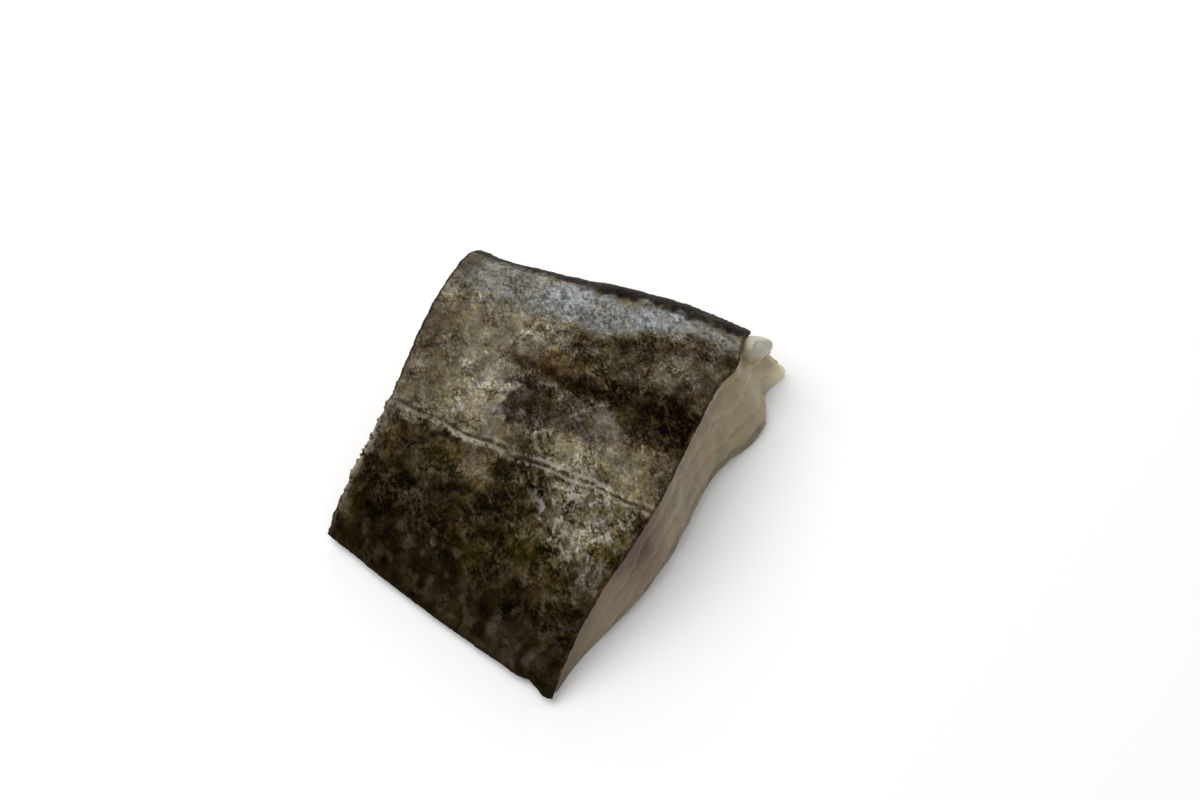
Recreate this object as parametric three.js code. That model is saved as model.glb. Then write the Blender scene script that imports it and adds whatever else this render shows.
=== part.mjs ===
// A skin-on cod fillet portion: one block of raw white flesh with its skin on top, lying on its flesh side.
// Units are millimetres and +Z is up. X runs along the fish, so the left and right ends are the knife's cuts
// across it. Y runs across the fillet, from the thin front edge to the thick back edge.
// The frame's origin is under the middle of the portion, on the surface that it lies on.
import * as THREE from "three";

const { clamp, lerp, smoothstep } = THREE.MathUtils;

// ---- Outline of the skin side, seen from above ----
// Widths and places along an edge are shares of its length: 0 is the left or front end, 1 the other.
const LEFT_CUT_X = -46.6; // where the left cut meets the front edge
const LEFT_CUT_SKEW = 1.2; // how far right it has come by the back edge
const LEFT_HOLLOW = { depth: 3.6, at: 0.36, width: 0.26 }; // the knife cut a hollow there
const RIGHT_CUT_X = 24.2;
const RIGHT_GAIN = { by: 6.9, from: 0.04, to: 0.48 }; // the portion widens towards its thick part
const RIGHT_BULGE = { depth: 2.2, at: 0.86, width: 0.055 }; // the skin hangs out near the back
const FRONT_LEFT_Y = -33; // the front edge runs askew between these two
const FRONT_RIGHT_Y = -50.2;
const FRONT_BOW = 1; // how far its middle bows out
const BACK_LEFT_Y = 52.3;
const BACK_RIGHT_Y = 58.4;
const BACK_BOW = 1.2;
const BACK_WAVE = 1.2; // the back edge pulls in at the left and swells at the right

// ---- Height of the flesh ----
const EDGE_THICKNESS = 2.2; // along the thin front edge
const CROWN_HEIGHT = 26.6; // at its thickest
const CROWN_AT = 0.55; // how far back the crown lies, as a share of the depth
const RISE_POWER = 2.2; // how round the long rise to the crown is
const CROWN_FALL = 0.1; // share of the height lost gently behind the crown
const SHOULDER_FALL = 0.3; // share lost where the skin turns down at the back
const SHOULDER_POWER = 8; // how sharply it turns
const END_FALL = 0.1; // share lost towards the two cuts
const RIPPLE = { height: 0.35, waves: 2, skew: 4 }; // soft waves of the skin side

// ---- Skin ----
const SKIN_THICKNESS = 1.0;
const SKIN_GAP = 0.3; // between the two solids
const SKIN_OVERHANG = 0.7; // past the flesh on the cuts and the back
const SKIN_FRONT_LIP = 0.9; // past the flesh along the thin front edge
const LATERAL_LINE_Y = -6; // the raised line that runs along the side of the fish
const LATERAL_RIDGE = 0.45; // how far it stands up
const LATERAL_RIDGE_WIDTH = 1.7;

// ---- How the flesh spreads towards the surface below ----
const CUT_FLARE = { by: 5.3, from: -0.1, to: 0.34 }; // of the right cut
const LOOSE_FLAKE = { reach: 6.4, at: 0.8, width: 0.1 }; // a flake that hangs out of that cut
const CORNER_FLAP = { reach: 6.2, at: 1, width: 0.07 }; // the curled tip of the next one
const LEFT_UNDERCUT = 3;
const FRONT_UNDERCUT = 0.8;
const BACK_FLARE = 2.5;

// ---- Relief of the flesh ----
const SAG = 1.5; // how far the soft sides belly out
const SAG_POWER = 0.7; // below 1 the belly hangs low
const FLAKE_THICKNESS = 7; // from one muscle flake to the next on the cuts
const FLAKE_STEP = 1.7; // relief between them
const FLAKE_CLOSING = 0.011; // flakes lost for each millimetre away from the lateral line
const FLAKE_PROFILE = { swell: 0.5, drop: 0.3, level: 0.4 }; // low powers swell and drop quickly
const RIGHT_FIRST_FLAKE = 0.15; // share of a flake that lies against the skin
const LEFT_FIRST_FLAKE = 0.55;
const FLAKES_FULL_AT = 0.25; // share of the depth behind the thin edge where they have their full relief
const RELIEF_FADE = { below: 0.15, above: 0.82 }; // shares of the height where relief starts and ends
const RELIEF_REACH = { cuts: 0.2, back: 0.15 }; // how far into the block a side's relief is felt
const SEAM_SPACING = 11; // between the seams on the underside and the back
const SEAM_DEPTH = 1.4;
const SEAM_HALF_WIDTH = 3.4;
const SEAM_LEAN = 0.62; // how far the seams sweep back from the middle groove
const SEAM_BEND = 5; // how softly they turn there
const SEAM_DRIFT = { by: 2.4, alongX: 18, alongY: 25, start: 1 }; // how they wander from an even spacing
const SEAMS_BEGIN = { from: 0.08, to: 0.3 }; // shares of the depth where the flesh is thick enough for them
const SEAM_CLIMB = 6; // how far they lean on their way up the back
const MIDDLE_GROOVE = { y: 1, slant: 0.04, depth: 1.8, width: 3 }; // between back and belly muscle
const CORNER_LUMP = { height: 2.6, at: 0.965, width: 0.035, up: 0.72, tall: 0.2 }; // pale tissue

// Segments along X, along Y and up
const FLESH_GRID = [32, 34, 11];
const SKIN_GRID = [26, 40, 1];
const RIDGE_ROWS = { at: 0.365, width: 0.14, crowding: 0.6 }; // the skin's rows crowd at the lateral line

// ---- Small helpers ----
const bell = (x, centre, width) => Math.exp(-(((x - centre) / width) ** 2));
const hump = (share) => Math.sin(Math.PI * clamp(share, 0, 1));

// ---- The skin side of the flesh ----
// u goes from the left cut (0) to the right one (1), and v from the front edge (0) to the back one (1).
const leftCut = (v) =>
  LEFT_CUT_X + LEFT_CUT_SKEW * v + LEFT_HOLLOW.depth * bell(v, LEFT_HOLLOW.at, LEFT_HOLLOW.width);
const rightCut = (v) =>
  RIGHT_CUT_X +
  RIGHT_GAIN.by * smoothstep(v, RIGHT_GAIN.from, RIGHT_GAIN.to) +
  RIGHT_BULGE.depth * bell(v, RIGHT_BULGE.at, RIGHT_BULGE.width);
const frontEdge = (u) => lerp(FRONT_LEFT_Y, FRONT_RIGHT_Y, u) - FRONT_BOW * hump(u);
const backEdge = (u) =>
  lerp(BACK_LEFT_Y, BACK_RIGHT_Y, u) + BACK_BOW * hump(u) - BACK_WAVE * Math.sin(2 * Math.PI * u);

// A long rise from the thin edge, a broad crown and a shoulder at the back
function skinSideHeight(u, v) {
  const rise = 1 - Math.max(1 - v / CROWN_AT, 0) ** RISE_POWER;
  const past = Math.max(v - CROWN_AT, 0) / (1 - CROWN_AT);
  const across = 1 - CROWN_FALL * past ** 2 - SHOULDER_FALL * past ** SHOULDER_POWER;
  const along = 1 - END_FALL * Math.abs(2 * u - 1) ** 3;
  const ripple = RIPPLE.height * Math.sin(2 * Math.PI * RIPPLE.waves * u + RIPPLE.skew * v) * hump(v);
  return EDGE_THICKNESS + (CROWN_HEIGHT - EDGE_THICKNESS) * rise * across * along + ripple;
}

const skinSide = (u, v) =>
  new THREE.Vector3(
    lerp(leftCut(v), rightCut(v), u),
    lerp(frontEdge(u), backEdge(u), v),
    skinSideHeight(u, v),
  );

function skinNormal(u, v) {
  const step = 1e-3;
  const along = skinSide(u + step, v).sub(skinSide(u - step, v));
  const across = skinSide(u, v + step).sub(skinSide(u, v - step));
  return along.cross(across).normalize();
}

// ---- The underside ----
const rightFloor = (v) =>
  rightCut(v) +
  CUT_FLARE.by * smoothstep(v, CUT_FLARE.from, CUT_FLARE.to) +
  LOOSE_FLAKE.reach * bell(v, LOOSE_FLAKE.at, LOOSE_FLAKE.width) +
  CORNER_FLAP.reach * bell(v, CORNER_FLAP.at, CORNER_FLAP.width);
const leftFloor = (v) => leftCut(v) + LEFT_UNDERCUT * Math.sqrt(hump(v));
const frontFloor = (u) => frontEdge(u) + FRONT_UNDERCUT;
const backFloor = (u) => backEdge(u) + BACK_FLARE;

// Seams between the flakes: grooves that sweep back on both sides of the middle groove. The result is 1 in
// a seam's bottom and 0 on the flat flakes between two seams.
function seam(x, y) {
  const sweep = SEAM_LEAN * Math.hypot(y - MIDDLE_GROOVE.y, SEAM_BEND);
  const drift = SEAM_DRIFT.by * Math.sin(x / SEAM_DRIFT.alongX + y / SEAM_DRIFT.alongY + SEAM_DRIFT.start);
  const count = (x + sweep + drift) / SEAM_SPACING;
  const away = Math.abs(count - Math.round(count)) * SEAM_SPACING;
  return Math.max(1 - away / SEAM_HALF_WIDTH, 0) ** 2;
}

function underside(u, v) {
  const x = lerp(leftFloor(v), rightFloor(v), u);
  const y = lerp(frontFloor(u), backFloor(u), v);
  const grooveY = MIDDLE_GROOVE.y + MIDDLE_GROOVE.slant * x;
  const groove = MIDDLE_GROOVE.depth * bell(y, grooveY, MIDDLE_GROOVE.width);
  const thickEnough = smoothstep(v, SEAMS_BEGIN.from, SEAMS_BEGIN.to);
  return new THREE.Vector3(x, y, Math.max(SEAM_DEPTH * seam(x, y), groove) * thickEnough);
}

// ---- Relief on the cuts and the back ----
// w goes from the underside (0) to the skin (1). Relief fades out at both, where the faces meet.
const fade = (w) => smoothstep(w, 0, RELIEF_FADE.below) * (1 - smoothstep(w, RELIEF_FADE.above, 1));
const belly = (w) => SAG * hump(w ** SAG_POWER);

// The outer edge of one flake in section: it swells slowly from one seam and drops quickly to the next
const flakeEdge = (share) =>
  share ** FLAKE_PROFILE.swell * (1 - share) ** FLAKE_PROFILE.drop - FLAKE_PROFILE.level;

// Flakes on a cut are stacked sheets that close in on the skin at the lateral line
function flakes(v, w, firstFlake) {
  const depth = (1 - w) * skinSideHeight(0.5, v);
  const y = lerp(FRONT_RIGHT_Y, BACK_RIGHT_Y, v);
  const sheet = depth / FLAKE_THICKNESS - FLAKE_CLOSING * Math.abs(y - LATERAL_LINE_Y) + firstFlake;
  return FLAKE_STEP * flakeEdge(sheet - Math.floor(sheet)) * fade(w);
}

const cornerLump = (v, w) =>
  CORNER_LUMP.height *
  bell(v, CORNER_LUMP.at, CORNER_LUMP.width) *
  bell(w, CORNER_LUMP.up, CORNER_LUMP.tall) *
  fade(w);

const offThinEdge = (v) => smoothstep(v, 0, FLAKES_FULL_AT);
const cutRelief = (v, w, firstFlake) => (belly(w) + flakes(v, w, firstFlake)) * offThinEdge(v);
const rightRelief = (v, w) => cutRelief(v, w, RIGHT_FIRST_FLAKE) + cornerLump(v, w);
const leftRelief = (v, w) => cutRelief(v, w, LEFT_FIRST_FLAKE);
const backRelief = (x, w) => belly(w) - SEAM_DEPTH * seam(x + SEAM_CLIMB * w, MIDDLE_GROOVE.y) * fade(w);

// ---- The two solids ----
// A box whose surface is laid over a shape: place(u, v, w) gives the point for three shares from 0 to 1.
function shapedBox([alongX, alongY, up], place) {
  const geometry = new THREE.BoxGeometry(1, 1, 1, alongX, alongY, up);
  const points = geometry.getAttribute("position");
  const share = (coordinate, segments) => Math.round((coordinate + 0.5) * segments) / segments;
  for (let i = 0; i < points.count; i++) {
    const u = share(points.getX(i), alongX);
    const v = share(points.getY(i), alongY);
    const w = share(points.getZ(i), up);
    points.setXYZ(i, ...place(u, v, w));
  }
  geometry.computeVertexNormals();
  return geometry;
}

// Relief is full on the cuts and the back, and dies away inside, where no surface is
function fleshPoint(u, v, w) {
  const point = underside(u, v).lerp(skinSide(u, v), w);
  const toRight = smoothstep(u, 1 - RELIEF_REACH.cuts, 1);
  const toLeft = smoothstep(1 - u, 1 - RELIEF_REACH.cuts, 1);
  const toBack = smoothstep(v, 1 - RELIEF_REACH.back, 1);
  const onSide = w > 0 && w < 1;
  if (onSide) {
    point.x += toRight * rightRelief(v, w) - toLeft * leftRelief(v, w);
    point.y += toBack * backRelief(point.x, w);
  }
  return point;
}

function skinPoint(u, v, w) {
  const width = RIGHT_CUT_X - LEFT_CUT_X;
  const depth = BACK_RIGHT_Y - FRONT_RIGHT_Y;
  const crowded = RIDGE_ROWS.crowding * bell(v, RIDGE_ROWS.at, RIDGE_ROWS.width);
  const row = lerp(v, RIDGE_ROWS.at, crowded);
  const skinU = lerp(-SKIN_OVERHANG / width, 1 + SKIN_OVERHANG / width, u);
  const skinV = lerp(-SKIN_FRONT_LIP / depth, 1 + SKIN_OVERHANG / depth, row);
  const point = skinSide(skinU, skinV);
  const ridge = LATERAL_RIDGE * bell(point.y, LATERAL_LINE_Y, LATERAL_RIDGE_WIDTH);
  const lift = SKIN_GAP + w * (SKIN_THICKNESS + ridge);
  return point.addScaledVector(skinNormal(skinU, skinV), lift);
}

const flesh = new THREE.Mesh(
  shapedBox(FLESH_GRID, fleshPoint),
  new THREE.MeshStandardMaterial({ color: 0xc9bfa3, roughness: 0.35, metalness: 0 }),
);
flesh.name = "flesh";

const skin = new THREE.Mesh(
  shapedBox(SKIN_GRID, skinPoint),
  new THREE.MeshStandardMaterial({ color: 0x463c2e, roughness: 0.4, metalness: 0 }),
);
skin.name = "skin";

// ---- Assembly: the middle of the portion's box goes over the origin ----
const portion = new THREE.Group();
portion.add(flesh, skin);
const middle = new THREE.Box3().setFromObject(portion, true).getCenter(new THREE.Vector3());
portion.position.set(-middle.x, -middle.y, 0);

const codFillet = new THREE.Group();
codFillet.add(portion);

export default codFillet;
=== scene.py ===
# %% [markdown]
# # A raw cod portion with its skin on
#
# A fishmonger lays half a cod on its flesh side and cuts across it. What comes off is this portion: a
# block of white flesh under dark, mottled skin, with a knife's cut on the left and on the right, a thin
# edge in front and a thick one at the back.
#
# The part's solids already have that form. These cells dress them: each of the two solids is replaced by
# a finer mesh of the same shape, with the relief and the colours that a plain solid leaves out. Sizes are
# in millimetres until a mesh is made, because that is how one thinks about food, and Blender gets metres.

from math import cos, pi, radians, sin

import bpy
import numpy as np
from mathutils import Matrix, Vector, noise


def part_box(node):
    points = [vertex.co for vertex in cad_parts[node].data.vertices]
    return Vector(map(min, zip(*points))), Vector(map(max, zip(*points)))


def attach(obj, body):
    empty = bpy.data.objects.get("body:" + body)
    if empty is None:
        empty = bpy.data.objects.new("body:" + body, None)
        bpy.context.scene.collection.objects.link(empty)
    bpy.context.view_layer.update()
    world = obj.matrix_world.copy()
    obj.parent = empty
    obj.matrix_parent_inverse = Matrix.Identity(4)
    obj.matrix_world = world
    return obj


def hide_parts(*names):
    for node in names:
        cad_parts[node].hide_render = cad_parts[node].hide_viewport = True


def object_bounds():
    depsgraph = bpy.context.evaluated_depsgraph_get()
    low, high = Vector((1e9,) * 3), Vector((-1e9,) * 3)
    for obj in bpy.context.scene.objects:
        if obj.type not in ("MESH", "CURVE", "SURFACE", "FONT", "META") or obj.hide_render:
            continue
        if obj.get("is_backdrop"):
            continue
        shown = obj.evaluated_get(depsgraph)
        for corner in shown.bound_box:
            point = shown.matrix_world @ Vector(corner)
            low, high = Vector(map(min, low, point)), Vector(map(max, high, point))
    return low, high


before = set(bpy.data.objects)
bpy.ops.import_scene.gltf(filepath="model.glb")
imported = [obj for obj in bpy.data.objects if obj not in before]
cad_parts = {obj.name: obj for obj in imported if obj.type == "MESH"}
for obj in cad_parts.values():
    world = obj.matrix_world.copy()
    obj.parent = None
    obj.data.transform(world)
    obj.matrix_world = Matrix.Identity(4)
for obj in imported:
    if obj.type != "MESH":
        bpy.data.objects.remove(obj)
solid_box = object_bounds()
MM = 0.001
solid_size = [round(x / MM, 1) for x in solid_box[1] - solid_box[0]]
print("solids:", sorted(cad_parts), "size in mm:", solid_size)

# %% [markdown]
# ## Shader maths as plain expressions
#
# Skin and flesh are painted by many small formulas: a spot here, a speckle there, more of it where the
# skin is pale. Drawn as a node tree that is a wall of Math nodes. So a `Wire` wraps one output of a node,
# and Python's own operators add the Math nodes: `1 - spots * 0.5` reads as it would on paper. Every other
# kind of node comes from `Finish.node`, which sets the node's settings first and then fills its sockets.


# %% A wire and the operators on it
class Wire:
    """What comes out of one socket. Sums, products and powers of wires add Math nodes."""

    def __init__(self, finish, socket):
        self.finish = finish
        self.socket = socket

    def math(self, operation, *values):
        return self.finish.node("ShaderNodeMath", {"operation": operation}, dict(enumerate(values)))

    def __add__(self, other):
        return self.math("ADD", self, other)

    def __radd__(self, other):
        return self.math("ADD", other, self)

    def __sub__(self, other):
        return self.math("SUBTRACT", self, other)

    def __rsub__(self, other):
        return self.math("SUBTRACT", other, self)

    def __mul__(self, other):
        return self.math("MULTIPLY", self, other)

    def __rmul__(self, other):
        return self.math("MULTIPLY", other, self)

    def __abs__(self):
        return self.math("ABSOLUTE", self)

    def rise(self, start, end):
        """0 at start and 1 at end, with a soft step between. Start may be the larger of the two."""
        settings = {"interpolation_type": "SMOOTHSTEP"}
        return self.finish.node("ShaderNodeMapRange", settings, {0: self, 1: start, 2: end})


# %% A finish and the nodes it is made of
def set_stops(ramp, stops):
    while len(ramp.elements) < len(stops):
        ramp.elements.new(1.0)
    for element, (position, colour) in zip(ramp.elements, stops):
        element.position = position
        element.color = (*colour, 1.0)


class Finish:
    """A material, and the ways in which its nodes are made."""

    def __init__(self, name):
        self.material = bpy.data.materials.new(name)
        self.material.use_nodes = True
        self.tree = self.material.node_tree
        self.tree.nodes.clear()

    def node(self, kind, settings, sockets, output=0):
        made = self.tree.nodes.new(kind)
        for name, value in settings.items():
            if name == "stops":
                set_stops(made.color_ramp, value)
            else:
                setattr(made, name, value)
        for name, value in sockets.items():
            if isinstance(value, Wire):
                self.tree.links.new(value.socket, made.inputs[name])
            else:
                made.inputs[name].default_value = value
        return Wire(self, made.outputs[output]) if made.outputs else None

    def attribute(self, name):
        """A value that was painted on the mesh's points."""
        return self.node("ShaderNodeAttribute", {"attribute_name": name}, {}, "Fac")

    def place(self):
        """The point on the part, in millimetres."""
        metres = self.node("ShaderNodeTexCoord", {}, {}, "Object")
        return self.node("ShaderNodeVectorMath", {"operation": "SCALE"}, {0: metres, "Scale": 1 / MM})

    def grain(self, place, turn, sizes):
        """Coordinates for a pattern that is turned about Z and has its own size along each axis."""
        turned = self.node("ShaderNodeMapping", {}, {"Vector": place, "Rotation": (0, 0, radians(-turn))})
        shares = [1 / size for size in sizes]
        return self.node("ShaderNodeVectorMath", {"operation": "MULTIPLY"}, {0: turned, 1: shares})

    def clouds(self, place, size, detail=2.0, roughness=0.5, twist=0.0):
        """Noise from 0 to 1 with features of about size mm. A twist curls them."""
        sockets = {"Vector": place, "Scale": 1 / size, "Detail": detail}
        sockets |= {"Roughness": roughness, "Distortion": twist}
        return self.node("ShaderNodeTexNoise", {}, sockets)

    def ramp(self, value, stops):
        return self.node("ShaderNodeValToRGB", {"stops": stops}, {0: value})

    def mix(self, share, first, second, blend="MIX"):
        """A colour between two, or the first one with the second blended over it."""
        settings = {"data_type": "RGBA", "blend_type": blend}
        return self.node("ShaderNodeMix", settings, {0: share, 6: first, 7: second}, 2)

    def bump(self, height, depth):
        """Bends the light as if the height, from 0 to 1, stood depth mm high."""
        return self.node("ShaderNodeBump", {}, {"Height": height, "Distance": depth * MM})

    def close(self, sockets):
        """Ends the tree in one Principled BSDF. What is the same all over sits on its own sockets."""
        shader = self.node("ShaderNodeBsdfPrincipled", {}, sockets)
        self.node("ShaderNodeOutputMaterial", {}, {"Surface": shader})
        return self.material


def screen(*levels):
    """The linear colour of a screen colour given in levels from 0 to 255."""
    shares = [level / 255 for level in levels]
    return tuple(share / 12.92 if share <= 0.04045 else ((share + 0.055) / 1.055) ** 2.4 for share in shares)


print("a screen's mid grey in linear light:", round(screen(128, 128, 128)[0], 3))

# %% [markdown]
# ## The form of the portion
#
# The skin side is one smooth surface over two shares: `u` runs from the left cut to the right one and `v`
# from the thin front edge to the back. Its outline and height are simple curves of those two, and they
# are the same ones that shaped the solids, so everything below fits without any fitting.

# %% Curves that every shape here uses


def between(first, second, share):
    return first + (second - first) * share


def smooth(x, start, end):
    """0 at start, 1 at end and a soft step between them."""
    share = np.clip((x - start) / (end - start), 0, 1)
    return share * share * (3 - 2 * share)


def bell(x, centre, width):
    return np.exp(-(((x - centre) / width) ** 2))


def hump(share):
    return np.sin(pi * np.clip(share, 0, 1))


def wander(size, x, y, layer):
    """Smooth noise from about -1 to 1 with features of about size mm. Each layer is another pattern."""
    x, y, layer = np.broadcast_arrays(x / size, y / size, layer)
    points = zip(x.ravel().tolist(), y.ravel().tolist(), layer.ravel().tolist())
    return np.array([noise.noise(point) for point in points]).reshape(x.shape) * 1.6


# %% The outline of the skin side
LEFT_CUT_X, RIGHT_CUT_X = -46.6, 24.2
FRONT_LEFT_Y, FRONT_RIGHT_Y = -33.0, -50.2
BACK_LEFT_Y, BACK_RIGHT_Y = 52.3, 58.4
WIDTH = RIGHT_CUT_X - LEFT_CUT_X
DEPTH = BACK_RIGHT_Y - FRONT_RIGHT_Y


def left_cut(v):
    skew, hollow = 1.2 * v, 3.6 * bell(v, 0.36, 0.26)
    return LEFT_CUT_X + skew + hollow


def right_cut(v):
    gain, bulge = 6.9 * smooth(v, 0.04, 0.48), 2.2 * bell(v, 0.86, 0.055)
    return RIGHT_CUT_X + gain + bulge


def front_edge(u):
    return between(FRONT_LEFT_Y, FRONT_RIGHT_Y, u) - hump(u)


def back_edge(u):
    bow, wave = 1.2 * hump(u), 1.2 * np.sin(2 * pi * u)
    return between(BACK_LEFT_Y, BACK_RIGHT_Y, u) + bow - wave


# %% [markdown]
# From the thin edge the portion rises in a long curve to a broad crown. Behind it the skin turns down
# over a shoulder, and that shoulder is what catches the light in a pale band along the back.

# %% The height of the skin side
EDGE_THICKNESS, CROWN_HEIGHT, CROWN_AT = 2.2, 26.6, 0.55


def skin_side_height(u, v):
    rise = 1 - np.maximum(1 - v / CROWN_AT, 0) ** 2.2
    past = np.maximum(v - CROWN_AT, 0) / (1 - CROWN_AT)
    across = 1 - 0.1 * past**2 - 0.3 * past**8
    along = 1 - 0.1 * np.abs(2 * u - 1) ** 3
    ripple = 0.35 * np.sin(4 * pi * u + 4 * v) * hump(v)
    return EDGE_THICKNESS + (CROWN_HEIGHT - EDGE_THICKNESS) * rise * across * along + ripple


def skin_side(u, v):
    x = between(left_cut(v), right_cut(v), u)
    y = between(front_edge(u), back_edge(u), v)
    return np.stack([x, y, skin_side_height(u, v)], -1)


def skin_normal(u, v):
    step = 1e-3
    along = skin_side(u + step, v) - skin_side(u - step, v)
    across = skin_side(u, v + step) - skin_side(u, v - step)
    normal = np.cross(along, across)
    return normal / np.linalg.norm(normal, axis=-1, keepdims=True)


# %% [markdown]
# The curves have their own zero, while the part's origin lies under the middle of its box. Laying the
# curves' skin over the skin solid gives the shift between the two, with no number to copy.

# %% Where the curves lie in the part
SKIN_THICKNESS, SKIN_GAP = 1.0, 0.3
SKIN_OVERHANG, SKIN_FRONT_LIP = 0.7, 0.9
LATERAL_LINE_Y = -6.0


def skin_shares(u, v):
    """The skin reaches a little past the flesh on every side."""
    wide = between(-SKIN_OVERHANG / WIDTH, 1 + SKIN_OVERHANG / WIDTH, u)
    deep = between(-SKIN_FRONT_LIP / DEPTH, 1 + SKIN_OVERHANG / DEPTH, v)
    return wide, deep


def middle_of(low, high):
    return (np.array(low) + np.array(high)) / 2


grid_u, grid_v = skin_shares(*np.meshgrid(np.linspace(0, 1, 60), np.linspace(0, 1, 80)))
outer = skin_side(grid_u, grid_v) + skin_normal(grid_u, grid_v) * (SKIN_GAP + SKIN_THICKNESS)
inner = skin_side(grid_u, grid_v) + skin_normal(grid_u, grid_v) * SKIN_GAP
curves = np.concatenate([outer.reshape(-1, 3), inner.reshape(-1, 3)])
low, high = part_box("skin")
shift = middle_of(low, high) / MM - middle_of(curves.min(0), curves.max(0))
shift[2] = 0
print("shift from the curves to the part in mm:", shift.round(2))

# %% [markdown]
# ## A box laid over a shape
#
# Both pieces are closed, so that they are solid from every side. Each starts as a lattice of points on
# the surface of a box with shares `u`, `v` and `w` (from the underside to the skin), and a function then
# says where each point goes. One large side of each piece is hidden against the other. There the cells
# are coarse, and only the cells at its border keep all their fine corners, so that the mesh stays closed
# with a third fewer faces.

# %% The lattice


def walk_round_cell(b, c, step, width, depth):
    """The corners round one cell of a side. On the side's own border every fine corner is kept."""
    near = [(i, c) for i in range(b, b + step, 1 if c == 0 else step)]
    right = [(b + step, j) for j in range(c, c + step, 1 if b + step == width else step)]
    far = [(i, c + step) for i in range(b + step, b, -1 if c + step == depth else -step)]
    left = [(b, j) for j in range(c + step, c, -1 if b == 0 else -step)]
    return near + right + far + left


def box_faces(counts, coarse_end, coarse_step):
    """The faces of a box lattice, as numbers of lattice points. Of w's two ends one is coarse."""
    pace = np.array([(counts[1] + 1) * (counts[2] + 1), counts[2] + 1, 1])
    faces = []
    for axis in range(3):
        across, along = (axis + 1) % 3, (axis + 2) % 3
        for end in (0, 1):
            step = coarse_step if axis == 2 and end == coarse_end else 1
            start = end * counts[axis] * pace[axis]
            for b in range(0, counts[across], step):
                for c in range(0, counts[along], step):
                    ring = walk_round_cell(b, c, step, counts[across], counts[along])
                    face = [start + i * pace[across] + j * pace[along] for i, j in ring]
                    faces.append(face if end else face[::-1])
    return faces


def lattice_shares(numbers, counts):
    w = numbers % (counts[2] + 1)
    v = numbers // (counts[2] + 1) % (counts[1] + 1)
    u = numbers // ((counts[2] + 1) * (counts[1] + 1))
    return u / counts[0], v / counts[1], w / counts[2]


# %% From a lattice to a piece
SHARP_ANGLE = radians(50)


def shaped_box(name, counts, coarse_end, shape, paint):
    """A closed piece. shape gives its points in mm and paint the values that its material reads."""
    faces = box_faces(counts, coarse_end, 8)
    numbers = np.unique(np.concatenate(faces))
    order = np.zeros(numbers[-1] + 1, int)
    order[numbers] = np.arange(len(numbers))
    u, v, w = lattice_shares(numbers, counts)
    points = shape(u, v, w) + shift
    mesh = bpy.data.meshes.new(name)
    mesh.from_pydata((points * MM).tolist(), [], [order[face].tolist() for face in faces])
    for value_name, values in paint(u, v, w, points).items():
        painted = mesh.attributes.new(value_name, "FLOAT", "POINT")
        painted.data.foreach_set("value", values.astype(np.float32))
    mesh.shade_smooth()
    mesh.set_sharp_from_angle(angle=SHARP_ANGLE)
    piece = bpy.data.objects.new(name, mesh)
    bpy.context.scene.collection.objects.link(piece)
    triangles = sum(len(face) - 2 for face in faces)
    print(f"{name}: {len(points)} points, {triangles} triangles, lowest point {points[:, 2].min():.2f} mm")
    return piece


# %% [markdown]
# ## The flesh
#
# White fish muscle is a stack of curved flakes. The knife cuts across them, so both cuts show the flakes'
# edges as soft ridges that run almost along the skin and close in on it at the lateral line. Underneath,
# where the fillet came off the bone, the same flakes meet in slanting seams on both sides of a middle
# groove.
#
# The soft block also spreads on the surface it lies on: the right cut flares outward, one flake hangs out
# of it and the next one curls into a flap.

# %% The flesh's underside
MIDDLE_GROOVE_Y = 1.0
SEAM_SPACING, SEAM_DEPTH, SEAM_HALF_WIDTH = 11.0, 1.4, 3.4


def right_floor(v):
    flare = 5.3 * smooth(v, -0.1, 0.34)
    loose_flake, flap = 6.4 * bell(v, 0.8, 0.1), 6.2 * bell(v, 1.0, 0.07)
    return right_cut(v) + flare + loose_flake + flap


def seam_distance(x, y):
    """How far a point of the underside is from the nearest seam, in mm."""
    sweep = 0.62 * np.hypot(y - MIDDLE_GROOVE_Y, 5)
    drift = 2.4 * np.sin(x / 18 + y / 25 + 1)
    count = (x + sweep + drift) / SEAM_SPACING
    return np.abs(count - np.round(count)) * SEAM_SPACING


def seam(x, y):
    return np.maximum(1 - seam_distance(x, y) / SEAM_HALF_WIDTH, 0) ** 2


def underside(u, v):
    x = between(left_cut(v) + 3 * np.sqrt(hump(v)), right_floor(v), u)
    y = between(front_edge(u) + 0.8, back_edge(u) + 2.5, v)
    groove = 1.8 * bell(y, MIDDLE_GROOVE_Y + 0.04 * x, 3)
    wavy_x, wavy_y = x + 0.9 * wander(9, x, y, 0.3), y + 0.9 * wander(9, x, y, 1.3)
    fibres = 0.14 * np.maximum(1 + wander(1, x / 5, y / 0.8, 2.3), 0)
    z = np.maximum(SEAM_DEPTH * seam(wavy_x, wavy_y), groove) + fibres
    return np.stack([x, y, z * smooth(v, 0.08, 0.3)], -1)


# %% [markdown]
# A flake's edge swells slowly from one seam and drops quickly to the next, like a roof tile. On the cuts
# it is pushed outward along X. Finer relief goes on top: the knife's light chatter and the fibres, which
# are bundles under a millimetre thick.

# %% The flesh's sides
FLAKE_THICKNESS, FLAKE_STEP = 7.0, 1.7
RIGHT_FIRST_FLAKE, LEFT_FIRST_FLAKE = 0.15, 0.55
LUMP_V, LUMP_W = 0.966, 0.79
LUMP_HALF_V, LUMP_HALF_W = 0.045, 0.19
LUMP_REACH = np.array([3.9, 1.2, 3.0])


def fade(w):
    return smooth(w, 0, 0.15) * (1 - smooth(w, 0.82, 1))


def belly(w):
    return 1.5 * hump(w**0.7)


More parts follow.
